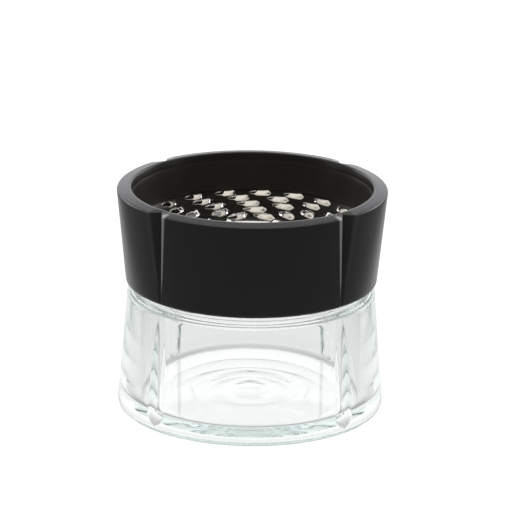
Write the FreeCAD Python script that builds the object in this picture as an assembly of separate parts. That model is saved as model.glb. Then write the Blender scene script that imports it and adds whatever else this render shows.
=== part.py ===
"""Lower half of a hand-twisted kitchen grater: a pressed-glass jar with a screw-on grater head.

Millimetres, +Z up. The origin is the centre of the circle that the jar stands on. The four
flutes of the jar and the four V-grooves of the collar line up, halfway between the X and Y
axes, when the head is screwed home. Every node is one solid, written to parts/NODE.step.
"""

import FreeCAD, Part
import math
import os

Vector = FreeCAD.Vector

# Overall
GROOVE_COUNT = 4
FIRST_GROOVE_DEG = 45.0
QUARTER_DEG = 360.0 / GROOVE_COUNT

# Glass jar body
BASE_R = 39.6
BASE_CORNER_R = 3.0
SHOULDER_Z = 35.8
SHOULDER_R = 36.75
SHOULDER_CORNER_R = 0.9
FLOOR_Z = 4.3
FLOOR_R = 33.0
FLOOR_CORNER_R = 1.4
PUNT_R = 27.0
PUNT_RISE = 1.5

# Glass jar flutes: upright round channels, deepest at the foot, running out at the shoulder
FLUTE_R = 3.2
FLUTE_AXIS_R = SHOULDER_R + FLUTE_R
FLUTE_BALL_Z = 6.0

# Glass neck and its four-start thread
NECK_R = 33.0
NECK_FOOT_FILLET_R = 0.6
MOUTH_R = 30.8
MOUTH_BOTTOM_Z = 42.0
CAVITY_TOP_R = 32.2
CAVITY_TOP_Z = 37.0
CAVITY_BEND_R = 3.0
LIP_Z = 49.8
LIP_CORNER_R = 0.9
BEAD_Z = 37.3
BEAD_R = 33.7
BEAD_HALF_H = 0.55
THREAD_LEAD = 16.0
RIB_SPAN_DEG = 100.0
RIB_START_Z = 42.0
RIB_CREST_R = 34.2
RIB_ROOT_W = 1.8
RIB_CREST_W = 1.0
RIB_BEDDING = 0.4

# Collar
COLLAR_BOTTOM_Z = 39.0
COLLAR_BOTTOM_R = 37.15
COLLAR_BOTTOM_CORNER_R = 0.8
RIM_Z = 67.7
RIM_R = 40.0
RIM_OUTER_CORNER_R = 1.0
RIM_INNER_CORNER_R = 0.35
COLLAR_CREASE_BOTTOM_R = 37.2
COLLAR_CREASE_TOP_R = 37.45
COLLAR_GROOVE_HALF_ANGLE_DEG = 43.5
SHELL_INNER_BOTTOM_R = 35.7
SHELL_INNER_TOP_R = 36.3

# Bowl above the disc
BOWL_TOP_R = 35.8
BOWL_FLOOR_R = 33.3
DISC_TOP_Z = 56.7
LINER_TOP_Z = 65.4
LINER_GAP = 0.05

# Grater disc
DISC_R = 35.0
DISC_T = 0.6
TOOTH_HALF_L = 3.75
TOOTH_HALF_W = 1.95
TOOTH_H = 0.95
TOOTH_EDGE_Y = 0.9
TOOTH_RIDGE_L = 3.2
TOOTH_LIP_Y = 2.0
TOOTH_LIP_H = 0.15
TOOTH_SHEET_T = 0.38
TOOTH_LAND_L = 0.3
TOOTH_RINGS = (
    # radius, count, angle of the first tooth
    (30.0, 18, 85.4),
    (24.6, 13, 99.4),
    (18.7, 11, 93.3),
    (12.6, 7, 86.2),
    (6.7, 5, 129.6),
)
KEY_W = 3.0
KEY_GAP = 0.1
KEY_INNER_R = 33.9

# Thread sleeve
SLEEVE_BOTTOM_Z = 38.5
SLEEVE_BORE_R = 34.5
SLEEVE_GAP = 0.05
SEAT_Z = 51.3
THROAT_BOTTOM_R = 30.9
THROAT_TOP_R = 32.6
LUG_CREST_R = 33.35
LUG_SPAN_DEG = 20.0
LUG_CENTRE_DEG = 14.0
LUG_ROOT_W = 1.6
LUG_CREST_W = 0.9
THREAD_GAP = 0.25
SNAP_Z = 45.5
SNAP_HALF_H = 0.7
SNAP_RISE = 0.3

# Gasket
GASKET_INNER_R = 31.0
GASKET_OUTER_R = 33.9
GASKET_BOTTOM_Z = 50.0
GASKET_TOP_Z = 51.15
GASKET_CORNER_R = 0.25

# How far a cutter runs past what it cuts
PAST = 2.0
AXIS = Vector(0, 0, 1)
ORIGIN = Vector(0, 0, 0)


def between(z, z0, r0, z1, r1):
    """Radius at height z on the straight line from (r0, z0) to (r1, z1)."""
    return r0 + (r1 - r0) * (z - z0) / (z1 - z0)


def bowl_r(z):
    """Radius of the conical bowl above the disc."""
    return between(z, DISC_TOP_Z, BOWL_FLOOR_R, RIM_Z, BOWL_TOP_R)


def shell_inner_r(z):
    """Inner radius of the collar's skirt, which the liner and the sleeve fill."""
    return between(z, COLLAR_BOTTOM_Z, SHELL_INNER_BOTTOM_R, LINER_TOP_Z, SHELL_INNER_TOP_R)


def rounded_wire(corners):
    """Closed wire in the XZ plane through (r, z, corner radius) points, each corner a tangent arc."""
    count = len(corners)
    joints = []
    for i, (r, z, radius) in enumerate(corners):
        here = Vector(r, 0, z)
        before = Vector(corners[i - 1][0], 0, corners[i - 1][1]) - here
        after = Vector(corners[(i + 1) % count][0], 0, corners[(i + 1) % count][1]) - here
        before.normalize()
        after.normalize()
        if radius == 0:
            joints.append((here, None, here))
            continue
        half_turn = before.getAngle(after) / 2
        reach = radius / math.tan(half_turn)
        middle = before + after
        middle.normalize()
        deepest = here + middle * (radius / math.sin(half_turn) - radius)
        joints.append((here + before * reach, deepest, here + after * reach))
    edges = []
    for i, (start, deepest, end) in enumerate(joints):
        if deepest is not None:
            edges.append(Part.Arc(start, deepest, end).toShape())
        following = joints[(i + 1) % count][0]
        if (following - end).Length > 1e-6:
            edges.append(Part.LineSegment(end, following).toShape())
    return Part.Wire(edges)


def turned(corners):
    """Solid of revolution about +Z from (r, z, corner radius) points."""
    return Part.Face(rounded_wire(corners)).revolve(ORIGIN, AXIS, 360)


def polygon(points):
    return Part.makePolygon(points + points[:1])


def quarter_copies(shape, first_deg):
    """Four copies of a shape drawn along +X, turned about +Z."""
    copies = []
    for i in range(GROOVE_COUNT):
        copy = shape.copy()
        copy.rotate(ORIGIN, AXIS, first_deg + i * QUARTER_DEG)
        copies.append(copy)
    return copies


def wedge(z0, crease_r0, z1, crease_r1, far_r, half_angle_deg):
    """V-shaped cutter along +X, whose crease runs straight from (crease_r0, z0) to (crease_r1, z1)."""
    spread = math.tan(math.radians(half_angle_deg))
    ends = []
    for z, crease_r in ((z0, crease_r0), (z1, crease_r1)):
        half_w = (far_r - crease_r) * spread
        corners = [Vector(crease_r, 0, z), Vector(far_r, half_w, z), Vector(far_r, -half_w, z)]
        ends.append(polygon(corners))
    return Part.makeLoft(ends, True, True)


def thread_rib(span_deg, start_z, inner_r, inner_w, outer_r, outer_w):
    """Right-hand helical rib of trapezoid section, rising anticlockwise from +X."""
    rise = THREAD_LEAD * span_deg / 360.0
    middle_r = (inner_r + outer_r) / 2
    path = Part.makeHelix(THREAD_LEAD, rise, middle_r)
    section = polygon([
        Vector(inner_r, 0, -inner_w / 2),
        Vector(outer_r, 0, -outer_w / 2),
        Vector(outer_r, 0, outer_w / 2),
        Vector(inner_r, 0, inner_w / 2),
    ])
    rib = Part.Wire(path.Edges).makePipeShell([section], True, True)
    rib.translate(Vector(0, 0, start_z))
    return rib


def jar_flute():
    """Cutter for one flute of the jar: an upright rod with a ball end just above the foot."""
    rod = Part.makeCylinder(FLUTE_R, SHOULDER_Z + PAST - FLUTE_BALL_Z, Vector(FLUTE_AXIS_R, 0, FLUTE_BALL_Z))
    ball = Part.makeSphere(FLUTE_R, Vector(FLUTE_AXIS_R, 0, FLUTE_BALL_Z))
    return rod.fuse(ball)


def jar_cavity():
    """Solid of the space inside the jar, from the floor up through the mouth."""
    return turned([
        (0, FLOOR_Z, 0),
        (FLOOR_R, FLOOR_Z, FLOOR_CORNER_R),
        (CAVITY_TOP_R, CAVITY_TOP_Z, CAVITY_BEND_R),
        (MOUTH_R, MOUTH_BOTTOM_Z, CAVITY_BEND_R),
        (MOUTH_R, LIP_Z + PAST, 0),
        (0, LIP_Z + PAST, 0),
    ])


def glass_jar():
    """Pressed-glass jar: thick base, conical wall with four flutes, threaded neck."""
    body = turned([
        (0, 0, 0),
        (BASE_R, 0, BASE_CORNER_R),
        (SHOULDER_R, SHOULDER_Z, SHOULDER_CORNER_R),
        (NECK_R, SHOULDER_Z, NECK_FOOT_FILLET_R),
        (NECK_R, LIP_Z, LIP_CORNER_R),
        (0, LIP_Z, 0),
    ])
    bead = turned([
        (NECK_R - RIB_BEDDING, BEAD_Z - BEAD_HALF_H, 0),
        (BEAD_R, BEAD_Z - BEAD_HALF_H / 2, 0.2),
        (BEAD_R, BEAD_Z + BEAD_HALF_H / 2, 0.2),
        (NECK_R - RIB_BEDDING, BEAD_Z + BEAD_HALF_H, 0),
    ])
    rib = thread_rib(RIB_SPAN_DEG, RIB_START_Z, NECK_R - RIB_BEDDING, RIB_ROOT_W, RIB_CREST_R, RIB_CREST_W)
    ribs = quarter_copies(rib, FIRST_GROOVE_DEG)
    flutes = quarter_copies(jar_flute(), FIRST_GROOVE_DEG)
    sphere_r = (PUNT_R ** 2 + PUNT_RISE ** 2) / (2 * PUNT_RISE)
    punt = Part.makeSphere(sphere_r, Vector(0, 0, PUNT_RISE - sphere_r))
    return body.cut(flutes).fuse([bead] + ribs).cut([jar_cavity(), punt])


def jar_gasket():
    """Flat silicone ring between the jar's lip and the sleeve's seat."""
    return turned([
        (GASKET_INNER_R, GASKET_BOTTOM_Z, GASKET_CORNER_R),
        (GASKET_OUTER_R, GASKET_BOTTOM_Z, GASKET_CORNER_R),
        (GASKET_OUTER_R, GASKET_TOP_Z, GASKET_CORNER_R),
        (GASKET_INNER_R, GASKET_TOP_Z, GASKET_CORNER_R),
    ])


def grip_collar():
    """Outer shell of the head: flared skirt, rolled rim and four tapering grip grooves."""
    shell = turned([
        (COLLAR_BOTTOM_R, COLLAR_BOTTOM_Z, COLLAR_BOTTOM_CORNER_R),
        (RIM_R, RIM_Z, RIM_OUTER_CORNER_R),
        (BOWL_TOP_R, RIM_Z, RIM_INNER_CORNER_R),
        (bowl_r(LINER_TOP_Z), LINER_TOP_Z, 0),
        (SHELL_INNER_TOP_R, LINER_TOP_Z, 0),
        (SHELL_INNER_BOTTOM_R, COLLAR_BOTTOM_Z, 0),
    ])
    groove = wedge(
        COLLAR_BOTTOM_Z - PAST,
        between(COLLAR_BOTTOM_Z - PAST, COLLAR_BOTTOM_Z, COLLAR_CREASE_BOTTOM_R, RIM_Z, COLLAR_CREASE_TOP_R),
        RIM_Z + PAST,
        between(RIM_Z + PAST, COLLAR_BOTTOM_Z, COLLAR_CREASE_BOTTOM_R, RIM_Z, COLLAR_CREASE_TOP_R),
        RIM_R + PAST,
        COLLAR_GROOVE_HALF_ANGLE_DEG,
    )
    return shell.cut(quarter_copies(groove, FIRST_GROOVE_DEG) + [snap_ring(SNAP_RISE + SLEEVE_GAP)])


def snap_ring(rise):
    """Shallow V-section ring that locks the sleeve into the skirt."""
    wall_r = shell_inner_r(SNAP_Z) - SLEEVE_GAP
    return turned([
        (wall_r - RIB_BEDDING, SNAP_Z - SNAP_HALF_H, 0),
        (wall_r + rise, SNAP_Z, 0),
        (wall_r - RIB_BEDDING, SNAP_Z + SNAP_HALF_H, 0),
    ])


def bowl_liner():
    """Conical inner wall of the bowl, whose foot presses on the disc's border."""
    recess_r = DISC_R + KEY_GAP
    recess_z = DISC_TOP_Z - DISC_T
    return turned([
        (BOWL_FLOOR_R, DISC_TOP_Z, 0),
        (bowl_r(LINER_TOP_Z), LINER_TOP_Z, 0),
        (SHELL_INNER_TOP_R - LINER_GAP, LINER_TOP_Z, 0),
        (shell_inner_r(recess_z) - LINER_GAP, recess_z, 0),
        (recess_r, recess_z, 0),
        (recess_r, DISC_TOP_Z, 0),
    ])


def tooth_spindle(inset):
    """Spindle along +Y whose top stands above the disc as a long dome, less an inset all over."""
    dome_r = (TOOTH_HALF_W ** 2 + TOOTH_H ** 2) / (2 * TOOTH_H)
    axis_z = DISC_TOP_Z + TOOTH_H - dome_r
    tip_z = axis_z - (dome_r - TOOTH_H - inset)
    widest_z = axis_z - (dome_r - inset)
    outline = polygon([
        Vector(0, -TOOTH_HALF_L, axis_z),
        Vector(0, -TOOTH_HALF_L, tip_z),
        Vector(0, TOOTH_EDGE_Y - TOOTH_RIDGE_L, widest_z),
        Vector(0, TOOTH_EDGE_Y, widest_z),
        Vector(0, TOOTH_HALF_L, tip_z),
        Vector(0, TOOTH_HALF_L, axis_z),
    ])
    return Part.Face(outline).revolve(Vector(0, 0, axis_z), Vector(0, 1, 0), 360)


def tooth_shell():
    """Outer form of one tooth: a long dome cut open from its ridge down to a low lip round its mouth."""
    bottom_z = DISC_TOP_Z - DISC_T
    kept = Part.Face(polygon([
        Vector(-PAST, -TOOTH_HALF_L - PAST, bottom_z + DISC_T / 3),
        Vector(-PAST, TOOTH_HALF_L + PAST, bottom_z + DISC_T / 3),
        Vector(-PAST, TOOTH_HALF_L + PAST, DISC_TOP_Z - DISC_T / 3),
        Vector(-PAST, TOOTH_HALF_L - TOOTH_LAND_L, DISC_TOP_Z),
        Vector(-PAST, TOOTH_LIP_Y, DISC_TOP_Z + TOOTH_LIP_H),
        Vector(-PAST, TOOTH_EDGE_Y, DISC_TOP_Z + TOOTH_H),
        Vector(-PAST, -TOOTH_HALF_L - PAST, DISC_TOP_Z + TOOTH_H + DISC_T),
    ])).extrude(Vector(2 * PAST, 0, 0))
    return tooth_spindle(0).common(kept)


def key_block(width, outer_r, z0, z1):
    """Bar along +X under one of the disc's four border notches."""
    block = Part.makeBox(outer_r - KEY_INNER_R, width, z1 - z0)
    block.translate(Vector(KEY_INNER_R, -width / 2, z0))
    return block


def grater_disc():
    """Stainless disc with rings of domed teeth, each open on its anticlockwise side."""
    bottom_z = DISC_TOP_Z - DISC_T
    disc = Part.makeCylinder(DISC_R, DISC_T, Vector(0, 0, bottom_z))
    shell = tooth_shell()
    hollow = tooth_spindle(TOOTH_SHEET_T)
    shells = []
    hollows = []
    for ring_r, count, first_deg in TOOTH_RINGS:
        for i in range(count):
            for shape, placed in ((shell, shells), (hollow, hollows)):
                copy = shape.copy()
                copy.translate(Vector(ring_r, 0, 0))
                copy.rotate(ORIGIN, AXIS, first_deg - i * 360.0 / count)
                placed.append(copy)
    notch = key_block(KEY_W + 2 * KEY_GAP, DISC_R + PAST, bottom_z - PAST, DISC_TOP_Z + PAST)
    return disc.fuse(shells).cut(hollows + quarter_copies(notch, 0))


def thread_sleeve():
    """Inner ring of the head: carries the disc, seats the gasket and holds the four thread lugs."""
    top_z = DISC_TOP_Z - DISC_T
    sleeve = turned([
        (SLEEVE_BORE_R, SLEEVE_BOTTOM_Z, 0.2),
        (shell_inner_r(SLEEVE_BOTTOM_Z) - SLEEVE_GAP, SLEEVE_BOTTOM_Z, 0.2),
        (shell_inner_r(top_z) - SLEEVE_GAP, top_z, 0),
        (THROAT_TOP_R, top_z, 0.2),
        (THROAT_BOTTOM_R, SEAT_Z, 0.2),
        (SLEEVE_BORE_R, SEAT_Z, 0),
    ])
    rib_under_z = RIB_START_Z + THREAD_LEAD * (LUG_CENTRE_DEG - LUG_SPAN_DEG / 2) / 360.0
    lug_start_z = rib_under_z - RIB_ROOT_W / 2 - THREAD_GAP - LUG_ROOT_W / 2
    lug = thread_rib(
        LUG_SPAN_DEG, lug_start_z, LUG_CREST_R, LUG_CREST_W, SLEEVE_BORE_R + RIB_BEDDING, LUG_ROOT_W
    )
    lugs = quarter_copies(lug, FIRST_GROOVE_DEG + LUG_CENTRE_DEG - LUG_SPAN_DEG / 2)
    keys = quarter_copies(key_block(KEY_W, DISC_R - KEY_GAP, top_z - RIB_BEDDING, DISC_TOP_Z), 0)
    return sleeve.fuse([snap_ring(SNAP_RISE)] + lugs + keys)


os.makedirs("parts", exist_ok=True)
NODES = {
    "glass_jar": glass_jar,
    "jar_gasket": jar_gasket,
    "grip_collar": grip_collar,
    "bowl_liner": bowl_liner,
    "grater_disc": grater_disc,
    "thread_sleeve": thread_sleeve,
}
for name, make in NODES.items():
    shape = make().removeSplitter()
    box = shape.BoundBox
    print(name, shape.isValid(), len(shape.Solids), round(shape.Volume), box.XMax, box.ZMin, box.ZMax)
    shape.exportStep("parts/" + name + ".step")
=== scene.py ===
"""Looks of a hand-twisted kitchen grater's lower half: a pressed-glass jar, a black screw-on
collar and a steel disc of domed teeth.

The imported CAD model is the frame. The object's lengths are millimetres, turned into Blender's metres
by MM. Places and sizes on the stage, for the floor, the lamps and the camera, are metres. Angles are
degrees about +Z, anticlockwise from +X, unless a name or comment says radians.
"""

import math

import bmesh
import bpy
import numpy as np
from mathutils import Matrix, Vector


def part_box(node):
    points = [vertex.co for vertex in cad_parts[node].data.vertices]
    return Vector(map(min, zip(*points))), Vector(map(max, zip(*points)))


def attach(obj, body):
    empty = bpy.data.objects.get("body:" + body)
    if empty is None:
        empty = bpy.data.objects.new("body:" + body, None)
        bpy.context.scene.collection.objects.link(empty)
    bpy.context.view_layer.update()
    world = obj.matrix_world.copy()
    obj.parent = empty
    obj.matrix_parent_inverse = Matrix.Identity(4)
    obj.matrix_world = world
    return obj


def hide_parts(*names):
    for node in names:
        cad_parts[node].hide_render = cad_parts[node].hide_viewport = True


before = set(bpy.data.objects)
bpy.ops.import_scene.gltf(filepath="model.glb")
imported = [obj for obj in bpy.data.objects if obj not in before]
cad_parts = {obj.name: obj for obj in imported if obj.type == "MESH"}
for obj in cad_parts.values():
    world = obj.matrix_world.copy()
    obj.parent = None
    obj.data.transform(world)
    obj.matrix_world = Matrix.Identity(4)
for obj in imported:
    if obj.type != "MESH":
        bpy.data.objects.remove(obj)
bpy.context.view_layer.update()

MM = 0.001


def low(node):
    """Lowest height of a CAD node, in mm."""
    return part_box(node)[0].z / MM


def high(node):
    """Highest height of a CAD node, in mm."""
    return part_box(node)[1].z / MM


# ---------------------------------------------------------------- sizes

# Collar
RIM_Z = high("grip_collar")
COLLAR_BOTTOM_Z = low("grip_collar")
COLLAR_DROP = RIM_Z - COLLAR_BOTTOM_Z
RIM_R = 40.0
COLLAR_BOTTOM_R = 37.15
SHELL_INNER_TOP_R = 36.3
SHELL_INNER_BOTTOM_R = 35.7
COLLAR_CREASE_R = 37.1
COLLAR_CREASE_LEAN = 0.1
COLLAR_KEEP_R = 36.4
GROOVE_SPREAD = math.tan(math.radians(43.5))
CREASE_SOFT_RAD = 0.0044

# Bowl and disc
LINER_TOP_Z = high("bowl_liner")
BOWL_TOP_R = 35.8
BOWL_FLOOR_R = 33.3
BOWL_SIDE_R = 36.25
DISC_TOP_Z = high("thread_sleeve")
DISC_R = 34.9
SEAM = 0.02

# Glass jar
LIP_Z = high("glass_jar")
BASE_R = 39.6
SHOULDER_Z = 35.8
SHOULDER_R = 36.75
SHOULDER_RING_RISE = 0.4
JAR_KEEP_R = 34.5
NECK_R = 33.0
BEAD_R = 33.7
BEAD_Z = 37.3
MOUTH_R = 30.8
MOUTH_BOTTOM_Z = 42.0
CAVITY_R = 32.2
CAVITY_TOP_Z = 37.0
FLOOR_R = 33.0
FLOOR_Z = 4.3
FLOOR_CORNER_R = 1.4
PUNT_R = 27.0
PUNT_RISE = 1.5

# Flutes of the jar: upright round channels that end below in a ball
FLUTE_R = 3.2
FLUTE_AXIS_R = SHOULDER_R + FLUTE_R
FLUTE_BALL_Z = 6.0
FLUTE_EDGE_ROUND = 0.5

# Four-start thread round the neck
THREAD_LEAD = 16.0
RIB_SPAN_DEG = 100.0
RIB_START_Z = 42.0
RIB_RISE = 1.2
RIB_HALF_ROOT = 0.9
RIB_FLANK = 0.4
RIB_END_DEG = 5.0

# The middles of the collar's grooves, the jar's flutes and the starts of the thread
GROOVE_CENTRES_DEG = (45.0, 135.0, 225.0, 315.0)

# Stands for a cut that lies outside every wall
FAR_OUT = 1e3


# ---------------------------------------------------------------- mesh helpers

def smooth_min(a, b, k):
    """The smaller of two values, rounded over where they come within k of each other."""
    h = np.clip(0.5 + 0.5 * (b - a) / k, 0.0, 1.0)
    return b + (a - b) * h - k * h * (1.0 - h)


def rounded(corners, longest=2.0, arc_steps=5, closed=False):
    """Points along (r, z, corner radius) corners: each corner an arc, each run cut into short spans."""
    count = len(corners)
    stops = []
    for i, (r, z, radius) in enumerate(corners):
        here = np.array((r, z))
        if radius == 0:
            stops.append([here])
            continue
        before = np.array(corners[i - 1][:2]) - here
        after = np.array(corners[(i + 1) % count][:2]) - here
        before = before / np.linalg.norm(before)
        after = after / np.linalg.norm(after)
        half = math.acos(float(np.clip(before @ after, -1, 1))) / 2
        middle = (before + after) / np.linalg.norm(before + after)
        centre = here + middle * radius / math.sin(half)
        first = here + before * radius / math.tan(half) - centre
        last = here + after * radius / math.tan(half) - centre
        arc = []
        for step in range(arc_steps + 1):
            t = step / arc_steps
            way = first * math.cos(t * math.pi / 2) + last * math.sin(t * math.pi / 2)
            arc.append(centre + way / np.linalg.norm(way) * radius)
        stops.append(arc)
    points = []
    for i, arc in enumerate(stops):
        points.extend(arc)
        if i == count - 1 and not closed:
            break
        following = stops[(i + 1) % count][0]
        gap = following - arc[-1]
        cuts = max(1, math.ceil(np.linalg.norm(gap) / longest))
        for cut in range(1, cuts):
            points.append(arc[-1] + gap * cut / cuts)
    return np.array(points)


def new_object(name, vertices_mm, faces, material):
    """Smooth-shaded mesh object in the scene, from vertices in mm."""
    mesh = bpy.data.meshes.new(name)
    mesh.from_pydata([tuple(v) for v in np.asarray(vertices_mm) * MM], [], faces)
    mesh.validate()
    mesh.materials.append(material)
    mesh.shade_smooth()
    obj = bpy.data.objects.new(name, mesh)
    bpy.context.scene.collection.objects.link(obj)
    return obj


def turned_mesh(name, profile, angles_deg, radii, material, closed):
    """Mesh of rings, one for each profile point. angles_deg and radii are (points, columns) arrays.
    A closed profile joins its last ring to its first; an open one starts and ends on the axis."""
    rings, columns = angles_deg.shape
    theta = np.radians(angles_deg)
    z = np.repeat(profile[:, 1:2], columns, 1)
    vertices = np.stack([radii * np.cos(theta), radii * np.sin(theta), z], -1).reshape(-1, 3).tolist()
    faces = []
    for i in range(rings if closed else rings - 1):
        this_ring = i * columns
        next_ring = (i + 1) % rings * columns
        for j in range(columns):
            beside = (j + 1) % columns
            faces.append((this_ring + j, this_ring + beside, next_ring + beside, next_ring + j))
    if not closed:
        for ring, z_pole, turn in ((0, profile[0, 1], 1), (rings - 1, profile[-1, 1], -1)):
            vertices.append((0.0, 0.0, z_pole))
            pole = len(vertices) - 1
            for j in range(columns):
                pair = (ring * columns + (j + 1) % columns, ring * columns + j)
                faces.append((pole,) + pair[::turn])
    return new_object(name, vertices, faces, material)


def store(obj, name, values):
    """Keeps one number for each vertex, for the materials to read."""
    attribute = obj.data.attributes.new(name, "FLOAT", "POINT")
    attribute.data.foreach_set("value", np.asarray(values, dtype=float).ravel())


class Grooves:
    """Four V-grooves round a flared wall, and the columns of a mesh that follows their edges."""

    # Share of the half-quarter that a column covers, against its angle from the groove's centre:
    # 0.25 is the groove's edge and 0.4 the end of its rounding.
    EDGE_AT, ROUND_AT = 0.25, 0.4
    LEAST_EDGE_DEG = 0.22
    HALF_QUARTER_DEG = 45

    def __init__(self, wall_r, edge_deg, cut_r, keep_r, edge_round):
        """wall_r(z) is the wall's radius, edge_deg(z) half the angle that a groove takes up, and
        cut_r(turn, z) the groove's own radius at an angle in radians from its centre. Nothing
        moves inside keep_r, and edge_round(z) is how softly groove and wall meet."""
        self.wall_r = wall_r
        self.edge_deg = edge_deg
        self.cut_r = cut_r
        self.keep_r = keep_r
        self.edge_round = edge_round
        half = np.concatenate([
            np.linspace(0, self.EDGE_AT, 9)[:-1],
            np.linspace(self.EDGE_AT, self.ROUND_AT, 9)[:-1],
            np.linspace(self.ROUND_AT, 1, 24),
        ])
        self.shares = np.concatenate([-half[:0:-1], half[:-1]])

    def columns(self, z):
        """(rings, columns) angles, and each column's angle from its groove's centre."""
        edge = self.edge_deg(z) + self.LEAST_EDGE_DEG
        from_centre = np.empty((len(z), len(self.shares)))
        share_stops = [0, self.EDGE_AT, self.ROUND_AT, 1]
        for i, e in enumerate(edge):
            turn_stops = [0, e, 1.7 * e + 0.6, self.HALF_QUARTER_DEG]
            from_centre[i] = np.interp(np.abs(self.shares), share_stops, turn_stops) * np.sign(self.shares)
        angles = np.concatenate([from_centre + c for c in GROOVE_CENTRES_DEG], 1)
        return angles, np.tile(from_centre, (1, len(GROOVE_CENTRES_DEG)))

    def radii(self, profile, from_centre):
        """Radius of each mesh point: the profile's own, squeezed inwards where a groove is cut."""
        r, z = profile[:, 0:1], profile[:, 1:2]
        wall = self.wall_r(z)
        turn = np.radians(np.abs(from_centre))
        cut = self.cut_r(turn, z)
        soft = self.edge_round(z)
        grooved = np.where(cut < wall + soft, smooth_min(wall + 0 * cut, cut, soft), wall)
        squeezed = self.keep_r + (r - self.keep_r) * (grooved - self.keep_r) / (wall - self.keep_r)
        return np.where(r > self.keep_r, squeezed, r + 0 * squeezed)


# ---------------------------------------------------------------- material helpers

class Nodes:
    """Short calls for building one material's nodes."""

    def __init__(self, name):
        self.material = bpy.data.materials.new(name)
        self.material.use_nodes = True
        self.tree = self.material.node_tree
        self.shader = self.tree.nodes["Principled BSDF"]
        self.output = self.tree.nodes["Material Output"]
        self.place = self.new("ShaderNodeTexCoord").outputs["Object"]

    def new(self, kind, **settings):
        """A node of one kind with its settings."""
        node = self.tree.nodes.new(kind)
        for key, value in settings.items():
            setattr(node, key, value)
        return node

    def link(self, source, target):
        self.tree.links.new(source, target)

    def set(self, **values):
        """Constants on the shader's own sockets; an underscore stands for a space."""
        for key, value in values.items():
            self.shader.inputs[key.replace("_", " ")].default_value = value

    def noise(self, scale, detail=3.0, roughness=0.55, stretch=(1, 1, 1)):
        """Noise with about scale swells a metre."""
        mapping = self.new("ShaderNodeMapping")
        mapping.inputs["Scale"].default_value = stretch
        self.link(self.place, mapping.inputs["Vector"])
        noise = self.new("ShaderNodeTexNoise")
        noise.inputs["Scale"].default_value = scale
        noise.inputs["Detail"].default_value = detail
        noise.inputs["Roughness"].default_value = roughness
        self.link(mapping.outputs["Vector"], noise.inputs["Vector"])
        return noise.outputs["Fac"]

    def spread(self, value, low_in, high_in, low_out, high_out):
        """value from one range into another, clamped."""
        node = self.new("ShaderNodeMapRange")
        sockets = ("From Min", "From Max", "To Min", "To Max")
        for socket, number in zip(sockets, (low_in, high_in, low_out, high_out)):
            node.inputs[socket].default_value = number
        self.link(value, node.inputs["Value"])
        return node.outputs["Result"]

    def sum(self, a, b):
        node = self.new("ShaderNodeMath", operation="ADD")
        self.link(a, node.inputs[0])
        self.link(b, node.inputs[1])
        return node.outputs[0]

    def colours(self, value, first, last):
        """From one plain colour to another as value goes from 0 to 1."""
        node = self.new("ShaderNodeMix", data_type="RGBA")
        node.inputs["A"].default_value = (*first, 1)
        node.inputs["B"].default_value = (*last, 1)
        self.link(value, node.inputs["Factor"])
        return node.outputs["Result"]

    def mixed(self, value, first, last):
        """From another node's colour to a plain one as value goes from 0 to 1."""
        node = self.new("ShaderNodeMix", data_type="RGBA")
        self.link(first, node.inputs["A"])
        node.inputs["B"].default_value = (*last, 1)
        self.link(value, node.inputs["Factor"])
        return node.outputs["Result"]

    def let_lamps_through(self, colour):
        """Mixes in a clear shader for rays from lamps, so that glass lights what stands behind it."""
        clear = self.new("ShaderNodeBsdfTransparent")
        clear.inputs["Color"].default_value = (*colour, 1)
        mix = self.new("ShaderNodeMixShader")
        self.link(self.new("ShaderNodeLightPath").outputs["Is Shadow Ray"], mix.inputs[0])
        self.link(self.shader.outputs[0], mix.inputs[1])
        self.link(clear.outputs[0], mix.inputs[2])
        self.link(mix.outputs[0], self.output.inputs["Surface"])

    def bump(self, height, strength, distance_mm):
        """Fine relief on the shader's normal."""
        node = self.new("ShaderNodeBump")
        node.inputs["Strength"].default_value = strength
        node.inputs["Distance"].default_value = distance_mm * MM
        self.link(height, node.inputs["Height"])
        self.link(node.outputs["Normal"], self.shader.inputs["Normal"])


def pressed_glass():
    """Clear soda glass, faintly green where it is thick, with the soft ripple of a pressed surface."""
    m = Nodes("pressed_glass")
    m.set(IOR=1.52, Transmission_Weight=1.0, Specular_IOR_Level=0.5)
    m.link(m.colours(m.noise(22), (1.0, 1.0, 1.0), (0.985, 0.99, 0.988)), m.shader.inputs["Base Color"])
    m.link(m.spread(m.noise(60, 4), 0.55, 0.75, 0.0, 0.02), m.shader.inputs["Roughness"])
    m.bump(m.noise(55, 2, 0.4), 0.10, 0.35)
    m.let_lamps_through((0.93, 0.96, 0.95))
    absorb = m.new("ShaderNodeVolumeAbsorption")
    absorb.inputs["Color"].default_value = (0.84, 0.88, 0.87, 1)
    absorb.inputs["Density"].default_value = 36.0
    m.link(absorb.outputs["Volume"], m.output.inputs["Volume"])
    return m.material


def black_shell():
    """Satin black moulding with a fine spark-eroded grain, lightly worn patches, and a painted highlight
    along the grooves' edges.
    """
    m = Nodes("black_shell")
    m.set(IOR=1.5, Specular_IOR_Level=0.5)
    worn = m.noise(35, 5, 0.6)
    painted_edge_highlight = m.new("ShaderNodeAttribute", attribute_name="painted_edge_highlight").outputs["Fac"]
    bowl_side = m.new("ShaderNodeAttribute", attribute_name="bowl_side").outputs["Fac"]
    black = m.colours(worn, (0.036, 0.036, 0.042), (0.047, 0.047, 0.055))
    black = m.mixed(bowl_side, black, (0.024, 0.022, 0.019))
    # painted highlight: the grooves' edges are coloured light grey to stand in for the light they catch
    m.link(m.mixed(painted_edge_highlight, black, (0.5, 0.52, 0.53)), m.shader.inputs["Base Color"])
    grain = m.noise(2600, 2, 0.5)
    m.link(m.spread(m.sum(worn, grain), 0.6, 1.4, 0.26, 0.36), m.shader.inputs["Roughness"])
    m.bump(grain, 0.2, 0.05)
    return m.material


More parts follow.
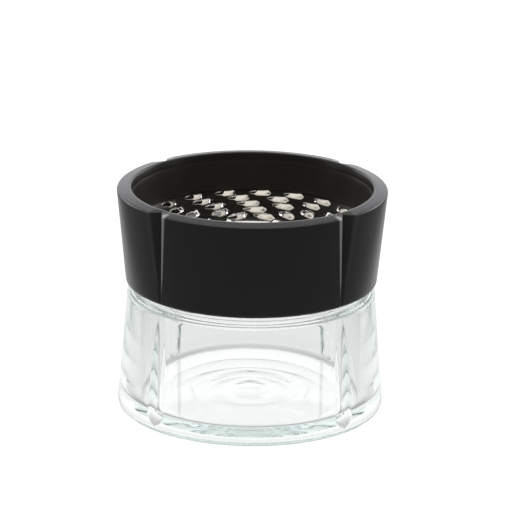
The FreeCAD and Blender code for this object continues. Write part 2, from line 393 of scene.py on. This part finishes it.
def black_liner():
    """Black inner moulding, a little smoother than the shell."""
    m = Nodes("black_liner")
    m.set(IOR=1.48, Specular_IOR_Level=0.2)
    cloud = m.noise(45, 4, 0.6)
    m.link(m.colours(cloud, (0.023, 0.021, 0.018), (0.040, 0.036, 0.031)), m.shader.inputs["Base Color"])
    m.link(m.spread(cloud, 0.3, 0.7, 0.32, 0.44), m.shader.inputs["Roughness"])
    m.bump(m.noise(2200, 2, 0.5), 0.15, 0.04)
    return m.material


def stainless_steel():
    """Bright rolled sheet, with faint drawn lines and cloudy polish."""
    m = Nodes("stainless_steel")
    m.set(Metallic=1.0)
    cloud = m.noise(70, 4, 0.6)
    m.link(m.colours(cloud, (0.62, 0.605, 0.58), (0.72, 0.705, 0.68)), m.shader.inputs["Base Color"])
    lines = m.noise(900, 3, 0.6, (0.04, 1, 1))
    m.link(m.spread(m.sum(cloud, lines), 0.6, 1.4, 0.015, 0.06), m.shader.inputs["Roughness"])
    m.bump(lines, 0.08, 0.02)
    return m.material


def silicone():
    """Matt grey silicone rubber."""
    m = Nodes("silicone")
    m.set(Roughness=0.5, IOR=1.41)
    m.link(m.colours(m.noise(80), (0.42, 0.43, 0.43), (0.55, 0.56, 0.56)), m.shader.inputs["Base Color"])
    m.bump(m.noise(1500, 2), 0.1, 0.03)
    return m.material


def studio_floor():
    """White sheet that mostly glows: straight on it is evenly white, while glass and gloss see a painted
    pool of light on it, a painted shadow of the jar's foot, and the rest of it dim."""
    m = Nodes("studio_floor")
    m.set(Roughness=0.6, Specular_IOR_Level=0.1, Emission_Color=(1, 1, 1, 1))
    m.link(m.colours(m.noise(1.5), (0.11, 0.11, 0.11), (0.13, 0.13, 0.13)), m.shader.inputs["Base Color"])

    def from_point(y, squeeze=1.0):
        """Distance on the floor from (0, y) in metres, counted squeeze times along X."""
        mapping = m.new("ShaderNodeMapping")
        mapping.inputs["Location"].default_value = (0, -y, 0)
        mapping.inputs["Scale"].default_value = (squeeze, 1, 1)
        m.link(m.place, mapping.inputs["Vector"])
        length = m.new("ShaderNodeVectorMath", operation="LENGTH")
        m.link(mapping.outputs["Vector"], length.inputs[0])
        return length.outputs["Value"]

    # painted pool of light on the floor behind the jar, fading to dim further out
    lit = m.spread(from_point(0.188, 2.0), 0.215, 0.27, 0.80, 0.06)
    for y, near, far, change_near, change_far in (
        # painted light gathered under the middle of the jar
        (0.0, 0.028, 0.045, 0.2, 0.0),
        # painted shadow of the foot, which falls towards the front
        (-0.006, 0.040, 0.048, -0.4, 0.0),
        (0.004, 0.030, 0.037, 0.4, 0.0),
        # faint painted shadow all round the foot
        (0.0, 0.036, 0.040, 0.0, -0.2),
        (0.0, 0.042, 0.048, 0.0, 0.2),
    ):
        lit = m.sum(lit, m.spread(from_point(y), near, far, change_near, change_far))
    seen = m.new("ShaderNodeMix")
    m.link(m.new("ShaderNodeLightPath").outputs["Is Camera Ray"], seen.inputs["Factor"])
    m.link(lit, seen.inputs["A"])
    seen.inputs["B"].default_value = 1.0
    m.link(seen.outputs["Result"], m.shader.inputs["Emission Strength"])
    return m.material


# ---------------------------------------------------------------- pieces

def collar_share(z):
    """How far up the collar a height is, from 0 at its bottom to 1 at the rim."""
    return (z - COLLAR_BOTTOM_Z) / COLLAR_DROP


def collar_wall_r(z):
    """Radius of the flared outside."""
    return COLLAR_BOTTOM_R + (RIM_R - COLLAR_BOTTOM_R) * (z - COLLAR_BOTTOM_Z) / COLLAR_DROP


def collar_crease_r(z):
    """Radius of a groove's crease, which leans in a little towards the rim."""
    return COLLAR_CREASE_R - COLLAR_CREASE_LEAN * collar_share(z)


def collar_edge_deg(z):
    """Half the angle that a groove takes up, which widens as the wall flares away from its crease."""
    depth = np.maximum(collar_wall_r(z) - collar_crease_r(z), 0)
    return np.degrees(np.arctan2(depth * GROOVE_SPREAD, collar_wall_r(z)))


def collar_cut_r(turn, z):
    """V-shaped groove with a slightly rounded crease."""
    soft = np.sqrt(turn ** 2 + CREASE_SOFT_RAD ** 2) - CREASE_SOFT_RAD
    room = np.cos(soft) * GROOVE_SPREAD - np.sin(soft)
    least = 0.05
    return np.where(room > least, collar_crease_r(z) * GROOVE_SPREAD / np.maximum(room, least), FAR_OUT)


def collar_edge_round(z):
    """A groove's edges are crisp at the bottom and softer towards the rim."""
    return 0.3 + 1.5 * collar_share(z)


def bowl_r(z):
    """Radius of the conical bowl above the disc."""
    return BOWL_FLOOR_R + (BOWL_TOP_R - BOWL_FLOOR_R) * (z - DISC_TOP_Z) / (RIM_Z - DISC_TOP_Z)


def store_highlight_and_bowl_masks(shell, grooves, profile, columns):
    """Marks a painted highlight along the grooves' edges, brightest on the front and back panels' side of
    each, and the top of the bowl's wall."""
    on_outside = np.clip((profile[:, 0:1] - 37.5) / 0.5, 0, 1)
    near_edge = np.interp(np.abs(grooves.shares), [0.2, 0.235, 0.3, 0.34], [0, 1, 1, 0])
    panel_side = np.concatenate([np.where(grooves.shares * way > 0, 1.0, 0.12) for way in (1, -1, 1, -1)])
    # painted highlight along the grooves' edges, strongest on the front and back panels' side of each
    store(shell, "painted_edge_highlight", on_outside * (np.tile(near_edge, 4) * panel_side)[None, :])
    store(shell, "bowl_side", np.repeat(profile[:, 0:1] < BOWL_SIDE_R, columns, 1))


def make_collar():
    """Outer shell with its gently sloping rim and four tapering grooves."""
    profile = rounded([
        (SHELL_INNER_BOTTOM_R, COLLAR_BOTTOM_Z, 0.2),
        (COLLAR_BOTTOM_R, COLLAR_BOTTOM_Z, 0.8),
        (RIM_R, RIM_Z - 0.55, 0.6),
        (36.7, RIM_Z, 1.2),
        (BOWL_TOP_R, RIM_Z, 0.5),
        (bowl_r(LINER_TOP_Z), LINER_TOP_Z, 0.15),
        (SHELL_INNER_TOP_R, LINER_TOP_Z, 0),
    ], 1.2, 6, closed=True)
    grooves = Grooves(collar_wall_r, collar_edge_deg, collar_cut_r, COLLAR_KEEP_R, collar_edge_round)
    angles, from_centre = grooves.columns(profile[:, 1])
    radii = grooves.radii(profile, from_centre)
    shell = turned_mesh("grip_collar_shell", profile, angles, radii, BLACK_SHELL, True)
    store_highlight_and_bowl_masks(shell, grooves, profile, angles.shape[1])
    return shell


def make_liner():
    """Conical wall of the bowl, under a hairline seam below the rim."""
    profile = rounded([
        (BOWL_FLOOR_R, DISC_TOP_Z + SEAM, 0.15),
        (SHELL_INNER_TOP_R - 0.1, DISC_TOP_Z + SEAM, 0),
        (SHELL_INNER_TOP_R - 0.1, LINER_TOP_Z - SEAM, 0),
        (bowl_r(LINER_TOP_Z), LINER_TOP_Z - SEAM, 0.2),
    ], 1.5, 4, closed=True)
    columns = 256
    angles = np.tile(np.arange(columns) * 360.0 / columns, (len(profile), 1))
    radii = np.repeat(profile[:, 0:1], columns, 1)
    return turned_mesh("bowl_liner_wall", profile, angles, radii, BLACK_LINER, True)


def jar_wall_r(z):
    """Radius of the jar's outside, which narrows from its base to its shoulder."""
    return BASE_R + (SHOULDER_R - BASE_R) * z / SHOULDER_Z


def flute_half_width(z):
    """Half a flute's width, which shrinks to nothing in the ball at its foot."""
    return np.sqrt(np.maximum(FLUTE_R ** 2 - np.maximum(FLUTE_BALL_Z - z, 0) ** 2, 1e-6))


def flute_edge_deg(z):
    """Half the angle that a flute takes up where its round section meets the wall."""
    wall, half = jar_wall_r(z), flute_half_width(z)
    cosine = (wall ** 2 + FLUTE_AXIS_R ** 2 - half ** 2) / (2 * wall * FLUTE_AXIS_R)
    return np.degrees(np.arccos(np.clip(cosine, -1, 1)))


def flute_cut_r(turn, z):
    """Radius of a flute's surface at an angle in radians from its middle."""
    half = flute_half_width(z)
    inside = half ** 2 - (FLUTE_AXIS_R * np.sin(turn)) ** 2
    return np.where(inside > 0, FLUTE_AXIS_R * np.cos(turn) - np.sqrt(np.maximum(inside, 0)), FAR_OUT)


def flute_edge_round(z):
    """The flutes' edges are equally soft at every height."""
    return FLUTE_EDGE_ROUND + 0 * z


def thread_height(angles, z):
    """How far the four helical ribs stand out of the neck."""
    height = np.zeros(angles.shape)
    for start in GROOVE_CENTRES_DEG:
        turn = (angles - start) % 360.0
        off = np.abs(z - RIB_START_Z - THREAD_LEAD * turn / 360.0)
        flank = np.clip((RIB_HALF_ROOT - off) / RIB_FLANK, 0, 1)
        ends = np.clip(turn / RIB_END_DEG, 0, 1) * np.clip((RIB_SPAN_DEG - turn) / RIB_END_DEG, 0, 1)
        height = np.maximum(height, RIB_RISE * flank * ends)
    return height


def floor_ripple(r):
    """Two faint swells that the plunger left round the middle of the floor."""
    return 0.16 * math.exp(-((r - 5.5) / 1.4) ** 2) + 0.14 * math.exp(-((r - 13.5) / 1.6) ** 2)


def make_jar():
    """Pressed-glass jar as one closed skin: foot, fluted wall, threaded neck, bore and floor."""
    punt_points = []
    for share in np.linspace(0.04, 1, 14):
        punt_points.append((PUNT_R * share, PUNT_RISE * (1 - share ** 2), 0))
    floor_points = [(r, FLOOR_Z + floor_ripple(r), 0) for r in np.arange(28.5, 0.9, -0.5)]
    outside = rounded(punt_points[:-1] + [
        (PUNT_R, 0, 0.8),
        (BASE_R, 0, 2.3),
        (SHOULDER_R, SHOULDER_Z, 0.8),
        (35.5, SHOULDER_Z, 0.15),
        (35.2, SHOULDER_Z + SHOULDER_RING_RISE, 0.15),
        (34.7, SHOULDER_Z + SHOULDER_RING_RISE, 0.15),
        (34.4, SHOULDER_Z, 0.15),
        (NECK_R, SHOULDER_Z, 0.6),
        (NECK_R, BEAD_Z - 0.6, 0.1),
        (BEAD_R, BEAD_Z - 0.25, 0.2),
        (BEAD_R, BEAD_Z + 0.25, 0.2),
        (NECK_R, BEAD_Z + 0.6, 0.1),
        (NECK_R, LIP_Z, 0.9),
        (MOUTH_R, LIP_Z, 0.7),
        (MOUTH_R, MOUTH_BOTTOM_Z, 3.0),
        (CAVITY_R, CAVITY_TOP_Z, 3.0),
        (FLOOR_R, FLOOR_Z, FLOOR_CORNER_R),
        (FLOOR_R - 4, FLOOR_Z, 0),
    ] + floor_points, 0.8, 6)
    grooves = Grooves(jar_wall_r, flute_edge_deg, flute_cut_r, JAR_KEEP_R, flute_edge_round)
    angles, from_centre = grooves.columns(np.clip(outside[:, 1], 0, SHOULDER_Z))
    radii = grooves.radii(outside, from_centre)
    z = np.repeat(outside[:, 1:2], angles.shape[1], 1)
    on_neck = (np.abs(outside[:, 0:1] - NECK_R) < 0.01) & (z > 40)
    radii = radii + np.where(on_neck, thread_height(angles, z), 0)
    return turned_mesh("glass_jar_body", outside, angles, radii, GLASS, False)


TOOTH_RINGS = (
    # radius, count, angle of the first tooth
    (30.0, 18, 85.4),
    (24.6, 13, 99.4),
    (18.7, 11, 93.3),
    (12.6, 7, 86.2),
    (6.7, 5, 129.6),
)
TOOTH_HALF_L = 3.75
TOOTH_HALF_W = 1.95
TOOTH_H = 0.95
TOOTH_TAPER_AT = 1.2
TOOTH_MOUTH_AT = 0.9
TOOTH_HIP_L = 1.2
TOOTH_DOME_POWER = 2.2
TOOTH_LIP_SHARE = 0.04
TOOTH_LEAST_RIM = 0.12
TOOTH_SHEET = 0.3
TOOTH_POINTS = 80
TOOTH_LOOPS = 12


def tooth_half_width(t):
    """Half the width of a tooth's outline: round at its mouth's end, pointed at the other."""
    round_end = np.sqrt(np.maximum(1 - (t / TOOTH_HALF_L) ** 2, 0))
    pointed_end = np.clip((TOOTH_HALF_L + t) / (TOOTH_HALF_L - TOOTH_TAPER_AT), 0, 1.6)
    return TOOTH_HALF_W * np.where(t > 0, round_end, smooth_min(pointed_end, 1.0, 0.4))


def tooth_height(t, s):
    """Height of a tooth's roof at t along it, towards its mouth, and s across it."""
    half = np.maximum(tooth_half_width(t), 1e-6)
    across = 1 - np.clip(np.abs(s) / half, 0, 1) ** TOOTH_DOME_POWER
    hip = np.clip((TOOTH_HALF_L + t) / TOOTH_HIP_L, 0, 2)
    along = np.where(t > 0, 1.0, smooth_min(hip, 1.0, 0.25))
    return TOOTH_H * across * along


def tooth_mouth_height(t):
    """Height of the mouth's cut edge at t: from the ridge down to a low lip round its far end."""
    fall = np.clip((TOOTH_HALF_L - t) / (TOOTH_HALF_L - TOOTH_MOUTH_AT), 0, 1)
    return TOOTH_H * (TOOTH_LIP_SHARE + (1 - TOOTH_LIP_SHARE) * fall ** 7)


def tooth_patch():
    """(loops, points, 3) grid of one tooth about the origin, its mouth towards +Y. Loop 0 is the
    outline on the disc, the last loop the mouth's edge, both found by stepping out from its heart."""
    heart = np.array(((TOOTH_MOUTH_AT + TOOTH_HALF_L) / 2, 0.0))
    turns = np.arange(TOOTH_POINTS) * 2 * math.pi / TOOTH_POINTS
    patch = np.empty((TOOTH_LOOPS, TOOTH_POINTS, 3))
    for j, turn in enumerate(turns):
        way = np.array((math.cos(turn), math.sin(turn)))
        reach = np.linspace(0, 2.2 * TOOTH_HALF_L, 2400)
        t, s = heart[0] + reach * way[0], heart[1] + reach * way[1]
        inside = (np.abs(t) < TOOTH_HALF_L) & (np.abs(s) < tooth_half_width(t))
        in_mouth = inside & (t > TOOTH_MOUTH_AT - 0.001) & (tooth_height(t, s) > tooth_mouth_height(t))
        outer = reach[np.argmax(~inside)]
        inner = min(reach[np.argmax(~in_mouth)], outer - TOOTH_LEAST_RIM)
        for loop in range(TOOTH_LOOPS):
            share = loop / (TOOTH_LOOPS - 1)
            at = outer + (inner - outer) * share
            t_at, s_at = heart[0] + at * way[0], heart[1] + at * way[1]
            height = 0.0 if loop == 0 else float(tooth_height(t_at, s_at))
            if t_at > TOOTH_MOUTH_AT:
                height = min(height, float(tooth_mouth_height(t_at)))
            patch[loop, j] = (-s_at, t_at, height)
    return patch


def placed_teeth(patch):
    """The grid of every tooth, turned to its own place in the disc's rings."""
    for ring_r, count, first_deg in TOOTH_RINGS:
        for i in range(count):
            turn = math.radians(first_deg - i * 360.0 / count)
            cos, sin = math.cos(turn), math.sin(turn)
            x, y, z = patch[..., 0] + ring_r, patch[..., 1], patch[..., 2]
            yield np.stack([x * cos - y * sin, x * sin + y * cos, z], -1)


def make_disc():
    """Flat sheet with every tooth's outline left open, and a drawn tooth set into each. The sheet's
    own faces stay flat and the outlines sharp, so that the teeth's shading doesn't run into it."""
    bm = bmesh.new()
    border = []
    columns = 192
    for i in range(columns):
        turn = 2 * math.pi * i / columns
        border.append(bm.verts.new((DISC_R * math.cos(turn), DISC_R * math.sin(turn), 0)))
    loops = [border]
    tooth_faces = []
    for tooth in placed_teeth(tooth_patch()):
        verts = [[bm.verts.new(tuple(p)) for p in loop] for loop in tooth]
        loops.append(verts[0])
        for a in range(TOOTH_LOOPS - 1):
            for b in range(TOOTH_POINTS):
                c = (b + 1) % TOOTH_POINTS
                tooth_faces.append((verts[a][b], verts[a][c], verts[a + 1][c], verts[a + 1][b]))
    edges = []
    for loop in loops:
        for i, vert in enumerate(loop):
            edge = bm.edges.new((vert, loop[(i + 1) % len(loop)]))
            edge.smooth = False
            edges.append(edge)
    bmesh.ops.triangle_fill(bm, use_beauty=True, use_dissolve=False, edges=edges)
    for face in tooth_faces:
        bm.faces.new(face).smooth = True
    bmesh.ops.recalc_face_normals(bm, faces=bm.faces)
    if sum(f.normal.z for f in bm.faces) < 0:
        bmesh.ops.reverse_faces(bm, faces=bm.faces)
    bmesh.ops.transform(bm, matrix=Matrix.Translation((0, 0, DISC_TOP_Z)), verts=bm.verts)
    bmesh.ops.scale(bm, vec=(MM, MM, MM), verts=bm.verts)
    mesh = bpy.data.meshes.new("grater_disc_sheet")
    bm.to_mesh(mesh)
    bm.free()
    mesh.materials.append(STEEL)
    obj = bpy.data.objects.new("grater_disc_sheet", mesh)
    bpy.context.scene.collection.objects.link(obj)
    sheet = obj.modifiers.new("sheet", "SOLIDIFY")
    sheet.thickness = TOOTH_SHEET * MM
    sheet.offset = -1
    return obj


# ---------------------------------------------------------------- stage

def make_floor():
    """Plain floor that the jar stands on."""
    bpy.ops.mesh.primitive_plane_add(size=6.0, location=(0, 0, 0))
    floor = bpy.context.object
    floor.name = "floor"
    floor.data.materials.append(studio_floor())


def make_sky():
    """A white tent: bright above and low down behind, dim between them and on the camera's side, and
    plain white as a backdrop."""
    world = bpy.data.worlds.new("studio")
    bpy.context.scene.world = world
    world.use_nodes = True
    tree = world.node_tree

    def ramp(value, start, end):
        """From 0 to 1, eased at both ends, as value goes from start to end."""
        node = tree.nodes.new("ShaderNodeMapRange")
        node.interpolation_type = "SMOOTHSTEP"
        node.inputs["From Min"].default_value = start
        node.inputs["From Max"].default_value = end
        tree.links.new(value, node.inputs["Value"])
        return node.outputs["Result"]

    def math_node(operation, a, b):
        """One sum on two values, each a number or another node's output."""
        node = tree.nodes.new("ShaderNodeMath")
        node.operation = operation
        for socket, value in zip(node.inputs, (a, b)):
            if isinstance(value, float):
                socket.default_value = value
            else:
                tree.links.new(value, socket)
        return node.outputs[0]

    place = tree.nodes.new("ShaderNodeTexCoord").outputs["Generated"]
    split = tree.nodes.new("ShaderNodeSeparateXYZ")
    tree.links.new(place, split.inputs[0])
    behind = ramp(split.outputs["Y"], 0.25, 0.85)
    below_gap = math_node("SUBTRACT", 1.0, ramp(split.outputs["Z"], 0.40, 0.50))
    backdrop = math_node("MULTIPLY", math_node("MULTIPLY", behind, below_gap), 1.38)
    above = ramp(split.outputs["Z"], 0.58, 0.72)
    lit = math_node("MAXIMUM", backdrop, math_node("MULTIPLY", above, 0.78))
    tent = math_node("ADD", lit, 0.05)
    seen = tree.nodes.new("ShaderNodeLightPath").outputs["Is Camera Ray"]
    strength = math_node("MAXIMUM", tent, math_node("MULTIPLY", seen, 1.3))
    tint = tree.nodes.new("ShaderNodeMix")
    tint.data_type = "RGBA"
    tint.inputs["A"].default_value = (0.97, 0.985, 1.0, 1)
    tint.inputs["B"].default_value = (1.0, 0.955, 0.88, 1)
    tree.links.new(above, tint.inputs["Factor"])
    background = tree.nodes["Background"]
    tree.links.new(tint.outputs["Result"], background.inputs["Color"])
    tree.links.new(strength, background.inputs["Strength"])


def area_light(name, at, size, watts, colour):
    """Rectangular softbox aimed at the object's middle."""
    data = bpy.data.lights.new(name, "AREA")
    data.shape = "RECTANGLE"
    data.size, data.size_y = size
    data.energy = watts
    data.color = colour
    light = bpy.data.objects.new(name, data)
    light.location = at
    aim = Vector((0, 0, 0.04)) - Vector(at)
    light.rotation_euler = aim.to_track_quat("-Z", "Y").to_euler()
    bpy.context.scene.collection.objects.link(light)


CAMERA_DISTANCE = 1.2
CAMERA_ELEVATION_DEG = 17.7
CAMERA_ROLL_DEG = 0.75
CAMERA_TARGET = Vector((0.00115, 0, 0.0461))
CAMERA_LENS_MM = 285.0


def make_camera():
    """Long lens looking down on the object from the front, rolled a little."""
    data = bpy.data.cameras.new("camera")
    data.lens = CAMERA_LENS_MM
    data.sensor_width = 36
    data.clip_start = 0.01
    camera = bpy.data.objects.new("camera", data)
    bpy.context.scene.collection.objects.link(camera)
    tilt = math.radians(CAMERA_ELEVATION_DEG)
    back = Vector((0, -math.cos(tilt), math.sin(tilt)))
    roll = Matrix.Rotation(math.radians(CAMERA_ROLL_DEG), 3, "Z")
    turn = (-back).to_track_quat("-Z", "Y").to_matrix() @ roll
    camera.matrix_world = Matrix.Translation(CAMERA_TARGET + back * CAMERA_DISTANCE) @ turn.to_4x4()
    bpy.context.scene.camera = camera


GLASS = pressed_glass()
BLACK_SHELL = black_shell()
BLACK_LINER = black_liner()
STEEL = stainless_steel()
SILICONE = silicone()

for make, node, body, slot in (
    (make_jar, "glass_jar", "jar", "pressed_glass"),
    (make_collar, "grip_collar", "head", "black_shell"),
    (make_liner, "bowl_liner", "head", "black_liner"),
    (make_disc, "grater_disc", "head", "stainless_steel"),
):
    piece = make()
    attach(piece, body)
    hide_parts(node)

for node, material in (("thread_sleeve", BLACK_LINER), ("jar_gasket", SILICONE)):
    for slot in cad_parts[node].material_slots:
        slot.material = material

make_floor()
make_sky()
WHITE = (1, 1, 1)
WARM = (1.0, 0.96, 0.9)
for name, at, size, watts, colour in (
    ("top", (0, 0.1, 1.2), (1.2, 1.2), 1.1, WARM),
    ("left", (-1.1, -0.1, 0.5), (0.4, 0.9), 0.8, WHITE),
    ("right", (1.1, -0.1, 0.5), (0.4, 0.9), 0.5, WHITE),
    ("rear_left", (-0.7, 0.5, 0.35), (0.3, 0.5), 1.2, WHITE),
    ("rear_right", (0.7, 0.5, 0.35), (0.3, 0.5), 1.6, WHITE),
):
    area_light(name, at, size, watts, colour)
make_camera()
bpy.context.scene.view_settings.view_transform = "Standard"

# Light in the base of the jar is reflected inside the glass many times before it leaves
bpy.context.scene.cycles.max_bounces = 32
bpy.context.scene.cycles.glossy_bounces = 24
bpy.context.scene.cycles.transmission_bounces = 24
